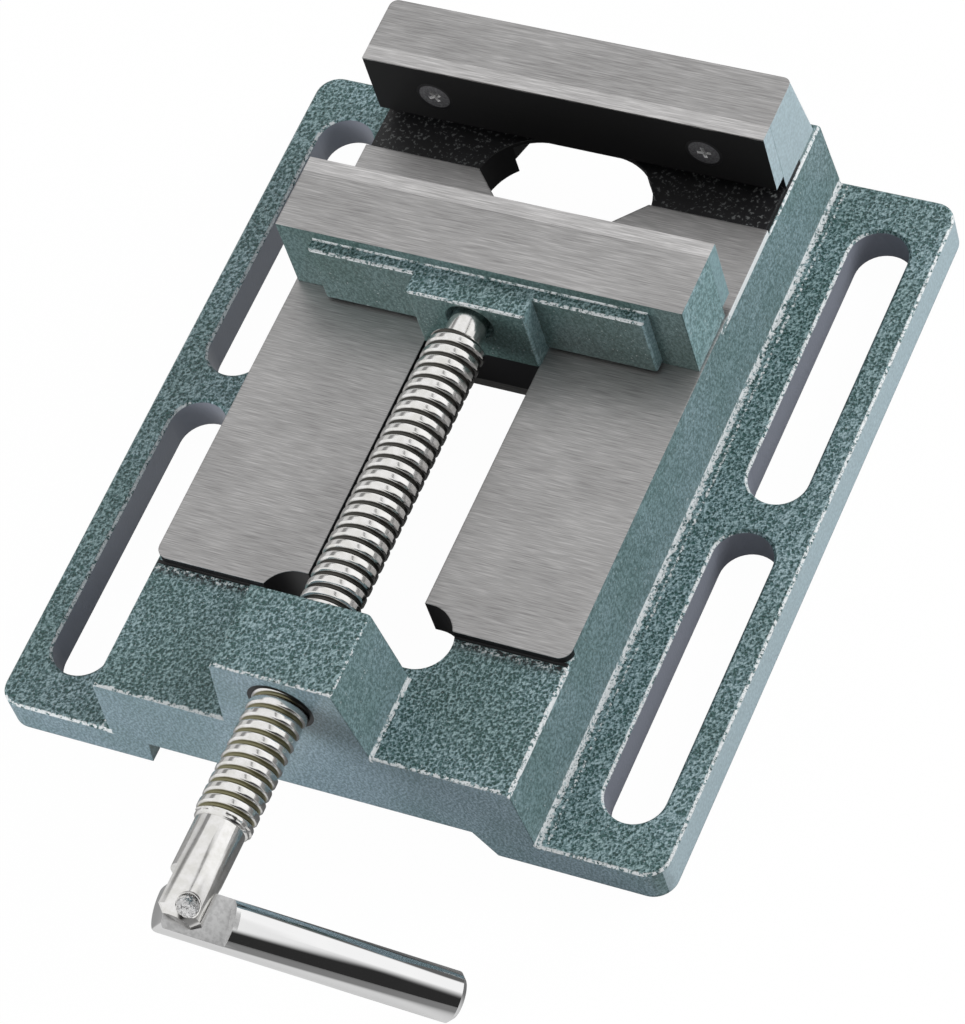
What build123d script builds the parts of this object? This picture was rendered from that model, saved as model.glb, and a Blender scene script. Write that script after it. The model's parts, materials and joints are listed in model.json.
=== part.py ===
"""Four inch drill press vise: slotted base casting, sliding jaw, lead screw and folding handle.

Millimetres. +X is the operator's right, +Y runs along the lead screw to the fixed jaw and +Z is up.
The origin is the middle of the base's footprint, on the table. Everything stands where it does with
the jaws part open and the handle folded down to the right.
"""
import os
from math import cos, radians, sin

from build123d import *

# Base plate and its slots
base_width = 166.4
base_length = 186.0
plate_thickness = 9.5
plate_corner_radius = 5.5
slot_width = 14.5
slot_side_margin = 13.7
slot_end_margin = 11.2
slot_middle_land = 8.4
rim_chamfer = 0.6

# Raised block that carries the ways
block_ledge = 0.6
block_draft = 1.8
block_wall = 7.9
bridge_height = 30.0
web_thickness = 8.7
way_rise = 2.0
way_front_setback = 34.2
way_rear_gap = 8.9
way_corner_radius = 3.0
rear_land_rise = 1.2
cavity_corner_radius = 8.0
front_wall = 7.5
rear_wall = 13.5
recess_height = 8.0
recess_left = (44.9, 43.6)
recess_right = (42.0, 37.4)
rear_notch_half_width = 36.0
rear_notch_corner = 5.0

# Openings down through the web; those at the rear are placed from the fixed jaw's face
gap_half_width = 14.5
gap_rear_gap = 16.1
cross_slot_setback = 31.5
cross_slot_width = 15.6
cross_slot_half_length = 24.0
rear_opening_half_width = 22.0
rear_opening_bend = (18.6, -1.4)
rear_opening_end = (9.4, 3.3)

# Passage under the fixed jaw, with a higher arch in its middle that narrows to the rear
passage_half_width = 20.4
passage_lead = 0.3
passage_length = 11.7
passage_drop = 4.0
passage_corner_radius = 3.8
passage_arch_lead = 1.6
passage_arch_front_half_width = 17.7
passage_arch_rear_half_width = 14.0

# Nut boss at the front of the bridge
screw_rise = 12.2
nut_boss_wall = 10.4
nut_boss_top_half_width = 14.7
nut_boss_foot_half_width = 18.2
nut_boss_length = 21.5

# Jaws
jaw_width = 101.6
jaw_rise = 9.8
jaw_plate_thickness = 4.0
jaw_plate_height = 18.6
jaw_screw_end_margin = 16.5
fixed_jaw_setback = 23.4
jaw_opening = 29.8
fixed_jaw_top_inset = 5.4
fixed_jaw_shoulder_inset = 0.9
fixed_jaw_shoulder_rise = 1.0
fixed_jaw_corner_radius = 2.0
moving_jaw_depth = 15.8
wing_end_setback = 8.8
wing_proud = 3.1
wing_top_setback = 3.0
wing_foot_gap = 1.0
jaw_boss_half_width = 14.8
jaw_boss_proud = 8.2

# Countersunk screws of the jaw plates
jaw_screw_diameter = 5.0
jaw_screw_head_diameter = 9.2
jaw_screw_length = 13.0
jaw_screw_hole_depth = 12.0

# Keeper under the ways, its bolts and washers
keeper_width = 60.0
keeper_thickness = 3.6
keeper_setback = 0.5
keeper_corner_radius = 2.0
keeper_bolt_diameter = 6.0
keeper_bolt_half_spacing = 9.0
keeper_bolt_hole_depth = 9.0
keeper_bolt_end_gap = 1.0
keeper_bolt_head_height = 4.0
keeper_bolt_head_across_flats = 10.0
washer_diameter = 11.0
washer_thickness = 1.6

# Lead screw
thread_diameter = 13.6
thread_length = 129.0
thread_chamfer = 0.9
shank_diameter = 11.7
neck_diameter = 9.0
neck_length = 6.2
journal_end_wall = 5.0
journal_groove_diameter = 6.2
journal_groove_width = 3.4
journal_groove_inset = 9.5
journal_chamfer = 0.6
neck_pocket_diameter = 11.8
neck_pocket_depth = 2.5
retaining_pin_diameter = 3.0
retaining_pin_rise = 2.0

# Folding handle and the rivet that hinges it
hinge_reach = 21.9
hinge_overhang = 3.2
hinge_roll = 38.5
tongue_length = 8.2
tongue_end_radius = 1.6
lap_height = 2.2
handle_fold = 13.3
handle_diameter = 11.6
handle_reach = 64.9
handle_end_chamfer = 1.2
handle_step = 10.6
handle_tab_reach = 4.0
handle_tab_corner_radius = 1.6
rivet_diameter = 4.0
rivet_head_diameter = 5.4
rivet_head_height = 1.5
rivet_head_chamfer = 0.9
spot_face_diameter = 5.9
spot_face_depth = 0.75

# Clearances
running_clearance = 0.05
keeper_clearance = 0.10
way_side_clearance = 0.20
bolt_hole_clearance = 0.30
hinge_gap = 0.10

# Rounded cast edges
cast_edge_radius = 0.8
boss_edge_radius = 1.0
margin = 1.0

# Base, from front to rear
front_y = -base_length / 2
rear_y = base_length / 2
slot_row_x = base_width / 2 - slot_side_margin
slot_length = base_length / 2 - slot_end_margin - slot_middle_land / 2
slot_centre_y = (slot_middle_land + slot_length) / 2
fixed_face_y = rear_y - fixed_jaw_setback
fixed_seam_y = fixed_face_y + jaw_plate_thickness
way_front_y = front_y + way_front_setback
way_rear_y = fixed_face_y - way_rear_gap
gap_rear_y = fixed_face_y - gap_rear_gap
cross_slot_y = front_y + cross_slot_setback
passage_y = fixed_face_y - passage_lead + passage_length / 2
passage_rear_y = passage_y + passage_length / 2

# Base, from the table up and across
way_height = bridge_height + way_rise
web_underside = bridge_height - web_thickness
screw_height = way_height + screw_rise
nut_boss_top = screw_height + nut_boss_wall
jaw_top = screw_height + jaw_rise
jaw_plate_bottom = jaw_top - jaw_plate_height
block_top_half_width = jaw_width / 2 + block_ledge
block_foot_half_width = block_top_half_width + block_draft
cavity_half_width = block_top_half_width - block_wall
jaw_screw_half_spacing = jaw_width / 2 - jaw_screw_end_margin

# Moving jaw and what it carries
moving_face_y = fixed_face_y - jaw_opening
moving_seam_y = moving_face_y - jaw_plate_thickness
moving_front_y = moving_seam_y - moving_jaw_depth
wing_face_y = moving_front_y - wing_proud
jaw_boss_y = moving_front_y - jaw_boss_proud
jaw_underside = way_height + running_clearance
wing_top = jaw_top - wing_top_setback
wing_bottom = way_height + wing_foot_gap
tongue_underside = web_underside - keeper_clearance
keeper_bolt_y = (jaw_boss_y + moving_seam_y) / 2
journal_end_y = moving_seam_y - journal_end_wall
journal_groove_y = journal_end_y - journal_groove_inset
retaining_pin_x = journal_groove_diameter / 2 + retaining_pin_diameter / 2 + running_clearance
retaining_pin_length = screw_height + retaining_pin_rise - tongue_underside
thread_rear_y = jaw_boss_y - neck_length
thread_front_y = thread_rear_y - thread_length
hinge_y = thread_front_y - hinge_reach

os.makedirs("parts", exist_ok=True)


def front_plane(y):
    """Upright plane across the vise at y, seen from the front: local x is X and local y is Z."""
    return Plane(origin=(0, y, 0), x_dir=(1, 0, 0), z_dir=(0, -1, 0))


def side_names():
    return (("left", -1), ("right", 1))


def jaw_screw_spots():
    """Centres of a jaw's two plate screws, level with the lead screw, as X and Z."""
    return [(side * jaw_screw_half_spacing, screw_height) for _, side in side_names()]


def keeper_bolt_spots():
    """Centres of the two keeper bolts, as X and Y."""
    return [(side * keeper_bolt_half_spacing, keeper_bolt_y) for _, side in side_names()]


def save(part, name):
    part.label = name
    export_step(part, f"parts/{name}.step")


# Fixed jaw, with a sloping back and rounded back corners, cast in one with the base
with BuildPart() as fixed_jaw_form:
    with BuildSketch(Plane.YZ.offset(-jaw_width / 2)) as fixed_jaw_profile:
        with BuildLine():
            shoulder_y = rear_y - fixed_jaw_shoulder_inset
            jaw_rear_y = rear_y - fixed_jaw_top_inset
            Polyline(
                (fixed_seam_y, plate_thickness),
                (shoulder_y, plate_thickness),
                (shoulder_y, bridge_height + fixed_jaw_shoulder_rise),
                (jaw_rear_y, jaw_top),
                (fixed_seam_y, jaw_top),
                close=True,
            )
        make_face()
    extrude(amount=jaw_width)
    back_corners = fixed_jaw_form.edges().filter_by(
        lambda edge: edge.length < jaw_width - margin and edge.center().Y > jaw_rear_y
    )
    fillet(back_corners, radius=fixed_jaw_corner_radius)

# Base casting: plate, block with ways, nut boss and fixed jaw in one piece
with BuildPart() as base_casting:
    with BuildSketch() as plate_outline:
        RectangleRounded(base_width, base_length, plate_corner_radius)
    extrude(amount=plate_thickness)
    chamfer(base_casting.edges().group_by(Axis.Z)[-1], length=rim_chamfer)
    with BuildSketch() as slot_outlines:
        with GridLocations(2 * slot_row_x, 2 * slot_centre_y, 2, 2):
            SlotOverall(slot_length, slot_width, rotation=90)
    extrude(amount=plate_thickness, mode=Mode.SUBTRACT)
    slot_rims = base_casting.edges().group_by(Axis.Z)[-1].filter_by(
        lambda edge: abs(edge.center().X) < base_width / 2 - slot_side_margin / 2
        and abs(edge.center().Y) < base_length / 2 - slot_end_margin / 2
    )
    chamfer(slot_rims, length=rim_chamfer)

    # Drafted block under the bridge and the ways
    with BuildSketch(front_plane(rear_y)) as block_section:
        with BuildLine():
            Polyline(
                (-block_foot_half_width, plate_thickness - margin),
                (block_foot_half_width, plate_thickness - margin),
                (block_top_half_width, bridge_height),
                (-block_top_half_width, bridge_height),
                close=True,
            )
        make_face()
    extrude(amount=base_length)
    bridge_edges = (
        base_casting.edges()
        .filter_by(Axis.Y)
        .filter_by_position(Axis.Z, bridge_height - 0.01, bridge_height + 0.01)
    )
    fillet(bridge_edges, radius=cast_edge_radius)

    # Land behind the ways, from their rear ends to the fixed jaw
    with BuildSketch(Plane.XY.offset(bridge_height - margin)) as rear_land:
        with Locations((0, (way_rear_y + fixed_seam_y + margin) / 2)):
            Rectangle(2 * block_top_half_width - 2 * cast_edge_radius, fixed_seam_y + margin - way_rear_y)
    extrude(amount=rear_land_rise + margin)

    # Machined ways
    with BuildSketch(Plane.XY.offset(bridge_height - margin)) as way_pads:
        with Locations((0, (way_front_y + way_rear_y) / 2)):
            Rectangle(2 * block_top_half_width, way_rear_y - way_front_y)
        fillet(way_pads.vertices().group_by(Axis.Y)[0], radius=way_corner_radius)
    extrude(amount=way_rise + margin)

    add(fixed_jaw_form.part)

    # Nut boss at the front of the bridge
    with BuildSketch(front_plane(front_y + nut_boss_length)) as nut_boss_section:
        with BuildLine():
            Polyline(
                (-nut_boss_foot_half_width, bridge_height - margin),
                (nut_boss_foot_half_width, bridge_height - margin),
                (nut_boss_top_half_width, nut_boss_top),
                (-nut_boss_top_half_width, nut_boss_top),
                close=True,
            )
        make_face()
    extrude(amount=nut_boss_length)
    nut_boss_edges = (
        base_casting.edges()
        .filter_by(Axis.Y)
        .filter_by_position(Axis.Z, nut_boss_top - 0.01, nut_boss_top + 0.01)
    )
    fillet(nut_boss_edges, radius=boss_edge_radius)

    # Gap between the ways, with the cross slot behind the bridge and a wide rounded rear end
    with BuildSketch() as gap_outline:
        with BuildLine():
            opening_front_y = gap_rear_y + rear_opening_half_width - gap_half_width
            bend_x, bend_y = rear_opening_bend[0], fixed_face_y + rear_opening_bend[1]
            end_x, end_y = rear_opening_end[0], fixed_face_y + rear_opening_end[1]
            Polyline(
                (-rear_opening_half_width, opening_front_y),
                (-gap_half_width, gap_rear_y),
                (-gap_half_width, cross_slot_y),
                (gap_half_width, cross_slot_y),
                (gap_half_width, gap_rear_y),
                (rear_opening_half_width, opening_front_y),
            )
            ThreePointArc((rear_opening_half_width, opening_front_y), (bend_x, bend_y), (end_x, end_y))
            Line((end_x, end_y), (-end_x, end_y))
            ThreePointArc((-end_x, end_y), (-bend_x, bend_y), (-rear_opening_half_width, opening_front_y))
        make_face()
        with Locations((0, cross_slot_y)):
            SlotOverall(2 * cross_slot_half_length, cross_slot_width)
    extrude(amount=way_height + margin, mode=Mode.SUBTRACT)

    # Passage under the fixed jaw, arched in the middle
    with BuildSketch() as passage_outline:
        with Locations((0, passage_y)):
            RectangleRounded(2 * passage_half_width, passage_length, passage_corner_radius)
    extrude(amount=bridge_height - passage_drop, mode=Mode.SUBTRACT)
    with BuildSketch() as arch_outline:
        with BuildLine():
            Polyline(
                (-passage_arch_front_half_width, fixed_face_y - passage_arch_lead),
                (passage_arch_front_half_width, fixed_face_y - passage_arch_lead),
                (passage_arch_rear_half_width, passage_rear_y),
                (-passage_arch_rear_half_width, passage_rear_y),
                close=True,
            )
        make_face()
    extrude(amount=bridge_height, mode=Mode.SUBTRACT)

    # Cavity under the web, open to the table, with a recess under its front wall and a rear notch
    with BuildSketch() as cavity_outline:
        with Locations((0, (front_y + front_wall + rear_y - rear_wall) / 2)):
            RectangleRounded(
                2 * cavity_half_width, base_length - front_wall - rear_wall, cavity_corner_radius
            )
    extrude(amount=web_underside, mode=Mode.SUBTRACT)
    with BuildSketch(front_plane(front_y + front_wall + margin)) as recess_section:
        with BuildLine():
            Polyline(
                (-recess_left[0], 0),
                (recess_right[0], 0),
                (recess_right[1], recess_height),
                (-recess_left[1], recess_height),
                close=True,
            )
        make_face()
    extrude(amount=front_wall + 2 * margin, mode=Mode.SUBTRACT)
    with BuildSketch(front_plane(rear_y + margin)) as rear_notch_section:
        Rectangle(2 * rear_notch_half_width, 2 * web_underside)
        chamfer(rear_notch_section.vertices().group_by(Axis.Z)[-1], length=rear_notch_corner)
    extrude(amount=rear_wall + cavity_corner_radius + margin, mode=Mode.SUBTRACT)

    # Tapped bore of the nut boss and tapped holes behind the fixed jaw plate
    with BuildSketch(front_plane(front_y + nut_boss_length + margin)) as nut_bore:
        with Locations((0, screw_height)):
            Circle(thread_diameter / 2 + running_clearance)
    extrude(amount=nut_boss_length + 2 * margin, mode=Mode.SUBTRACT)
    with BuildSketch(front_plane(fixed_seam_y)) as fixed_jaw_holes:
        with Locations(jaw_screw_spots()):
            Circle(jaw_screw_diameter / 2)
    extrude(amount=-jaw_screw_hole_depth, mode=Mode.SUBTRACT)

save(base_casting.part, "base_casting")


def jaw_plate(face_y, facing):
    """Hardened plate whose gripping face is at face_y and looks along facing times Y."""
    face_plane = Plane(origin=(0, face_y, 0), x_dir=(-facing, 0, 0), z_dir=(0, facing, 0))
    with BuildPart() as plate:
        with BuildSketch(face_plane):
            with Locations((0, jaw_top - jaw_plate_height / 2)):
                Rectangle(jaw_width, jaw_plate_height)
        extrude(amount=-jaw_plate_thickness)
        with Locations(face_plane):
            with Locations(jaw_screw_spots()):
                CounterSinkHole(
                    radius=jaw_screw_diameter / 2 + bolt_hole_clearance / 2,
                    counter_sink_radius=jaw_screw_head_diameter / 2,
                    depth=jaw_plate_thickness,
                    counter_sink_angle=90,
                )
    return plate.part


def jaw_screw(x, face_y, facing):
    """Countersunk screw, its flat head flush with the plate's face."""
    head_depth = (jaw_screw_head_diameter - jaw_screw_diameter) / 2
    screw_plane = Plane(origin=(x, face_y, screw_height), x_dir=(1, 0, 0), z_dir=(0, 0, 1))
    inward = -facing
    with BuildPart() as screw:
        with BuildSketch(screw_plane):
            with BuildLine():
                Polyline(
                    (0, 0),
                    (jaw_screw_head_diameter / 2, 0),
                    (jaw_screw_diameter / 2, inward * head_depth),
                    (jaw_screw_diameter / 2, inward * jaw_screw_length),
                    (0, inward * jaw_screw_length),
                    close=True,
                )
            make_face()
        revolve(axis=Axis((x, face_y, screw_height), (0, 1, 0)))
    return screw.part


save(jaw_plate(fixed_face_y, -1), "fixed_jaw_plate")
save(jaw_plate(moving_face_y, 1), "moving_jaw_plate")
for side_name, side in side_names():
    save(jaw_screw(side * jaw_screw_half_spacing, fixed_face_y, -1), f"fixed_jaw_screw_{side_name}")
    save(jaw_screw(side * jaw_screw_half_spacing, moving_face_y, 1), f"moving_jaw_screw_{side_name}")

# Moving jaw: body on the ways, raised front pad, screw boss and the tongue between the ways
with BuildPart() as moving_jaw:
    with BuildSketch(Plane.XY.offset(jaw_underside)) as jaw_body:
        with Locations((0, (moving_front_y + moving_seam_y) / 2)):
            Rectangle(jaw_width, moving_jaw_depth)
    extrude(amount=jaw_top - jaw_underside)
    with BuildSketch(front_plane(moving_front_y)) as wing_pad:
        with Locations((0, (wing_top + wing_bottom) / 2)):
            Rectangle(jaw_width - 2 * wing_end_setback, wing_top - wing_bottom)
    extrude(amount=wing_proud)
    with BuildSketch(front_plane(moving_front_y)) as jaw_boss:
        with Locations((0, (wing_top + jaw_underside) / 2)):
            Rectangle(2 * jaw_boss_half_width, wing_top - jaw_underside)
    extrude(amount=jaw_boss_proud)
    wing_corners = (
        moving_jaw.edges()
        .filter_by(Axis.Z)
        .filter_by_position(Axis.Y, wing_face_y - 0.01, wing_face_y + 0.01)
        .sort_by(Axis.X)
    )
    fillet([wing_corners[0], wing_corners[-1]], radius=cast_edge_radius)
    boss_corners = moving_jaw.edges().filter_by(Axis.Z).group_by(Axis.Y)[0]
    fillet(boss_corners, radius=boss_edge_radius)
    with BuildSketch(Plane.XY.offset(tongue_underside)) as tongue:
        with Locations((0, (jaw_boss_y + moving_seam_y) / 2)):
            Rectangle(2 * (gap_half_width - way_side_clearance), moving_seam_y - jaw_boss_y)
    extrude(amount=jaw_underside - tongue_underside + margin)

    # Journal bore with a wider mouth, entered from the front
    with BuildSketch(front_plane(jaw_boss_y - margin)) as neck_pocket:
        with Locations((0, screw_height)):
            Circle(neck_pocket_diameter / 2)
    extrude(amount=-neck_pocket_depth - margin, mode=Mode.SUBTRACT)
    with BuildSketch(front_plane(jaw_boss_y)) as journal_bore:
        with Locations((0, screw_height)):
            Circle(neck_diameter / 2 + running_clearance)
    extrude(amount=jaw_boss_y - journal_end_y - margin, mode=Mode.SUBTRACT)

    # Blind holes from below for the retaining pins, tapped holes for keeper bolts and plate screws
    with BuildSketch(Plane.XY.offset(tongue_underside)) as pin_holes:
        with Locations((-retaining_pin_x, journal_groove_y), (retaining_pin_x, journal_groove_y)):
            Circle(retaining_pin_diameter / 2)
    extrude(amount=retaining_pin_length, mode=Mode.SUBTRACT)
    with BuildSketch(Plane.XY.offset(tongue_underside)) as keeper_bolt_holes:
        with Locations(keeper_bolt_spots()):
            Circle(keeper_bolt_diameter / 2)
    extrude(amount=keeper_bolt_hole_depth, mode=Mode.SUBTRACT)
    with BuildSketch(front_plane(moving_seam_y)) as moving_jaw_holes:
        with Locations(jaw_screw_spots()):
            Circle(jaw_screw_diameter / 2)
    extrude(amount=jaw_screw_hole_depth, mode=Mode.SUBTRACT)

save(moving_jaw.part, "moving_jaw")

# Keeper plate, bolted under the tongue so that it catches the underside of both ways
with BuildPart() as keeper_plate:
    with BuildSketch(Plane.XY.offset(tongue_underside)) as keeper_outline:
        with Locations((0, keeper_bolt_y)):
            keeper_length = moving_seam_y - jaw_boss_y - 2 * keeper_setback
            RectangleRounded(keeper_width, keeper_length, keeper_corner_radius)
        with Locations(keeper_bolt_spots()):
            Circle(keeper_bolt_diameter / 2 + bolt_hole_clearance, mode=Mode.SUBTRACT)
    extrude(amount=-keeper_thickness)

save(keeper_plate.part, "keeper_plate")

washer_top = tongue_underside - keeper_thickness
for side_name, side in side_names():
    bolt_centre = (side * keeper_bolt_half_spacing, keeper_bolt_y)
    with BuildPart() as keeper_washer:
        with BuildSketch(Plane.XY.offset(washer_top)):
            with Locations(bolt_centre):
                Circle(washer_diameter / 2)
                Circle(keeper_bolt_diameter / 2 + bolt_hole_clearance / 2, mode=Mode.SUBTRACT)
        extrude(amount=-washer_thickness)
    save(keeper_washer.part, f"keeper_washer_{side_name}")

    with BuildPart() as keeper_bolt:
        with BuildSketch(Plane.XY.offset(washer_top - washer_thickness)):
            with Locations(bolt_centre):
                RegularPolygon(keeper_bolt_head_across_flats / 2, 6, major_radius=False)
        extrude(amount=-keeper_bolt_head_height)
        with BuildSketch(Plane.XY.offset(washer_top - washer_thickness)):
            with Locations(bolt_centre):
                Circle(keeper_bolt_diameter / 2)
        bolt_reach = keeper_bolt_hole_depth - keeper_bolt_end_gap
        extrude(amount=washer_thickness + keeper_thickness + bolt_reach)
    save(keeper_bolt.part, f"keeper_bolt_{side_name}")

    with BuildPart() as retaining_pin:
        with BuildSketch(Plane.XY.offset(tongue_underside)):
            with Locations((side * retaining_pin_x, journal_groove_y)):
                Circle(retaining_pin_diameter / 2)
        extrude(amount=retaining_pin_length)
    save(retaining_pin.part, f"retaining_pin_{side_name}")

# Hinge at the front end of the screw, rolled round the screw with it
hinge_point = Vector(0, hinge_y, screw_height)
hinge_across = Vector(cos(radians(hinge_roll)), 0, -sin(radians(hinge_roll)))
hinge_axis = Vector(sin(radians(hinge_roll)), 0, cos(radians(hinge_roll)))
handle_axis = hinge_across * cos(radians(handle_fold)) + Vector(0, 1, 0) * sin(radians(handle_fold))
hinge_plane = Plane(origin=hinge_point, x_dir=hinge_across, z_dir=hinge_axis)
handle_plane = Plane(origin=hinge_point, x_dir=handle_axis, z_dir=hinge_axis)
screw_axis = Axis((0, 0, screw_height), (0, 1, 0))

# Lead screw: threaded length, plain shank with the hinge tongue, neck and grooved journal
with BuildPart() as lead_screw:
    tongue_end_y = hinge_y - hinge_overhang
    groove_front_y = journal_groove_y - journal_groove_width / 2
    groove_rear_y = journal_groove_y + journal_groove_width / 2
    with BuildSketch(Plane.XY.offset(screw_height)) as screw_profile:
        with BuildLine():
            Polyline(
                (0, tongue_end_y),
                (shank_diameter / 2 - tongue_end_radius, tongue_end_y),
                (shank_diameter / 2, tongue_end_y + tongue_end_radius),
                (shank_diameter / 2, thread_front_y),
                (thread_diameter / 2, thread_front_y + thread_chamfer),
                (thread_diameter / 2, thread_rear_y - thread_chamfer),
                (neck_diameter / 2, thread_rear_y),
                (neck_diameter / 2, groove_front_y),
                (journal_groove_diameter / 2, groove_front_y),
                (journal_groove_diameter / 2, groove_rear_y),
                (neck_diameter / 2, groove_rear_y),
                (neck_diameter / 2, journal_end_y - journal_chamfer),
                (neck_diameter / 2 - journal_chamfer, journal_end_y),
                (0, journal_end_y),
                close=True,
            )
        make_face()
    revolve(axis=screw_axis)
    with BuildSketch(hinge_plane.offset(lap_height + hinge_gap / 2)) as lap_cut:
        with Locations((0, (tongue_length - hinge_overhang - margin) / 2)):
            Rectangle(thread_diameter, tongue_length + hinge_overhang + margin)
    extrude(amount=-thread_diameter, mode=Mode.SUBTRACT)
    with BuildSketch(hinge_plane) as rivet_hole:
        Circle(rivet_diameter / 2)
    extrude(amount=thread_diameter, mode=Mode.SUBTRACT)
    with BuildSketch(hinge_plane.offset(shank_diameter / 2 - spot_face_depth)) as spot_face:
        Circle(spot_face_diameter / 2)
    extrude(amount=thread_diameter, mode=Mode.SUBTRACT)

save(lead_screw.part, "lead_screw")

# Handle bar: round, milled flat on top for the lap at its hinge, the lap's corners eased
with BuildPart() as handle_bar:
    with BuildSketch(handle_plane) as bar_profile:
        with Locations(((handle_reach - handle_tab_reach) / 2, handle_diameter / 4)):
            Rectangle(handle_reach + handle_tab_reach, handle_diameter / 2)
    revolve(axis=Axis(hinge_point, handle_axis))
    far_rim = handle_bar.edges().filter_by(GeomType.CIRCLE).sort_by(Axis(hinge_point, handle_axis))[-1]
    chamfer(far_rim, length=handle_end_chamfer)
    with BuildSketch(handle_plane.offset(lap_height - hinge_gap / 2)) as handle_lap_cut:
        with Locations(((handle_step - handle_tab_reach - margin) / 2, 0)):
            Rectangle(handle_step + handle_tab_reach + margin, handle_diameter + margin)
    extrude(amount=handle_diameter, mode=Mode.SUBTRACT)
    with BuildSketch(handle_plane.offset(-handle_diameter)) as tab_trim:
        Rectangle(2 * handle_tab_reach + 2 * margin, handle_diameter + 2 * margin)
        with Locations((handle_step / 2, 0)):
            RectangleRounded(
                2 * handle_tab_reach + handle_step,
                handle_diameter,
                handle_tab_corner_radius,
                mode=Mode.SUBTRACT,
            )
    extrude(amount=2 * handle_diameter, mode=Mode.SUBTRACT)
    with BuildSketch(handle_plane) as handle_rivet_hole:
        Circle(rivet_diameter / 2 + running_clearance)
    extrude(amount=handle_diameter, both=True, mode=Mode.SUBTRACT)
    with BuildSketch(handle_plane.offset(spot_face_depth - handle_diameter / 2)) as handle_spot_face:
        Circle(spot_face_diameter / 2)
    extrude(amount=-handle_diameter, mode=Mode.SUBTRACT)

save(handle_bar.part, "handle_bar")

# Hinge rivet: tight in the screw's tongue, with a chamfered head at either end
with BuildPart() as handle_rivet:
    head_radius = rivet_head_diameter / 2
    upper_seat = shank_diameter / 2 - spot_face_depth
    lower_seat = spot_face_depth - handle_diameter / 2 - hinge_gap
    with BuildSketch(Plane(origin=hinge_point, x_dir=hinge_across, z_dir=(0, -1, 0))) as rivet_profile:
        with BuildLine():
            Polyline(
                (0, upper_seat + rivet_head_height),
                (head_radius - rivet_head_chamfer, upper_seat + rivet_head_height),
                (head_radius, upper_seat + rivet_head_height - rivet_head_chamfer),
                (head_radius, upper_seat),
                (rivet_diameter / 2, upper_seat),
                (rivet_diameter / 2, lower_seat),
                (head_radius, lower_seat),
                (head_radius, lower_seat + rivet_head_chamfer - rivet_head_height),
                (head_radius - rivet_head_chamfer, lower_seat - rivet_head_height),
                (0, lower_seat - rivet_head_height),
                close=True,
            )
        make_face()
    revolve(axis=Axis(hinge_point, hinge_axis))

save(handle_rivet.part, "handle_rivet")
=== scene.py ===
import json
import math

import bpy
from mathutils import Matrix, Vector

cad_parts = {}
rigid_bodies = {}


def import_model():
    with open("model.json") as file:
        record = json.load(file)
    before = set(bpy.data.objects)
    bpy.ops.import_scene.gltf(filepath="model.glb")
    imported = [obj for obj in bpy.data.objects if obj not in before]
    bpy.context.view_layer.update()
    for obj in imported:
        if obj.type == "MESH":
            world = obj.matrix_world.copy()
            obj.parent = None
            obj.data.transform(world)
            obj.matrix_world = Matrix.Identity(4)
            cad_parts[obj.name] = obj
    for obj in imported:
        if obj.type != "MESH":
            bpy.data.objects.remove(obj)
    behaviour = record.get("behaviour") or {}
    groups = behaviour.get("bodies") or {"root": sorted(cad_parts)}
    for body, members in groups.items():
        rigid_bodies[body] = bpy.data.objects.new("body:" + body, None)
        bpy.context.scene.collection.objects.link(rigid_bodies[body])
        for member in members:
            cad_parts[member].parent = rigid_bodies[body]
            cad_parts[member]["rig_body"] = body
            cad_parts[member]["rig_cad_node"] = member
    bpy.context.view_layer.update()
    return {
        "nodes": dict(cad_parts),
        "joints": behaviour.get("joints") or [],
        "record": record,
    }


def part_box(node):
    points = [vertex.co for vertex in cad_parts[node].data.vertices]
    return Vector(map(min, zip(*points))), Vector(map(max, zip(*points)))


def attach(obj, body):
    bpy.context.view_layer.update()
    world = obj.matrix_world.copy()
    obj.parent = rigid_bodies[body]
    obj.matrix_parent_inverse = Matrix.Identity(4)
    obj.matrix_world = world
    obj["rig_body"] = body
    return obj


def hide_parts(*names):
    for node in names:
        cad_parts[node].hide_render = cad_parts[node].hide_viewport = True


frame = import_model()
nodes = frame["nodes"]
joints = {joint["name"]: joint for joint in frame["joints"]}
mounts = {mount["name"]: mount for mount in frame["record"]["mounts"]}
mm = 0.001
hair = 0.1 * mm  # keeps a mask clear of the face that it ends at


# Places read from the frame, in metres

baseLow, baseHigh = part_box("base_casting")
slotX = mounts["table_slots_right"]["pos_m"][0]
screwHeight = joints["screw_spin"]["pos_m"][2]
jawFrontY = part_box("moving_jaw")[0].y
hinge = {
    "place": Vector(joints["handle_fold"]["pos_m"]),
    "axis": Vector(joints["handle_fold"]["axis"]).normalized(),
}

# Heights and places of the casting that the frame's boxes don't give
casting = {
    "plateTop": 9.5 * mm,
    "cavityTop": 21.4 * mm,
    "bridgeTop": 30.0 * mm,
    "landTop": 31.2 * mm,
    "wayTop": 32.0 * mm,
    "jawTop": 54.0 * mm,
    "bossFootX": 18.2 * mm,
    "gapX": 26.0 * mm,
    "cavityX": 44.0 * mm,
    "jawEndX": 50.8 * mm,
    "blockTopX": 51.4 * mm,
    "footX": 53.2 * mm,
    "bossRearY": -71.5 * mm,
    "gapFrontY": -71.0 * mm,
    "wayFrontY": -58.8 * mm,
    "wayCorner": 3.1 * mm,
    "wayRearY": 60.7 * mm,
    "ledgeFrontY": 69.7 * mm,
    "seamY": 73.6 * mm,
    "passageRearY": 82.0 * mm,
    "slotEndY": 84.0 * mm,
    "cavityY": 85.0 * mm,
    "slotHalfWidth": 7.4 * mm,
    "boreRadius": 7.9 * mm,
}

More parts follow.
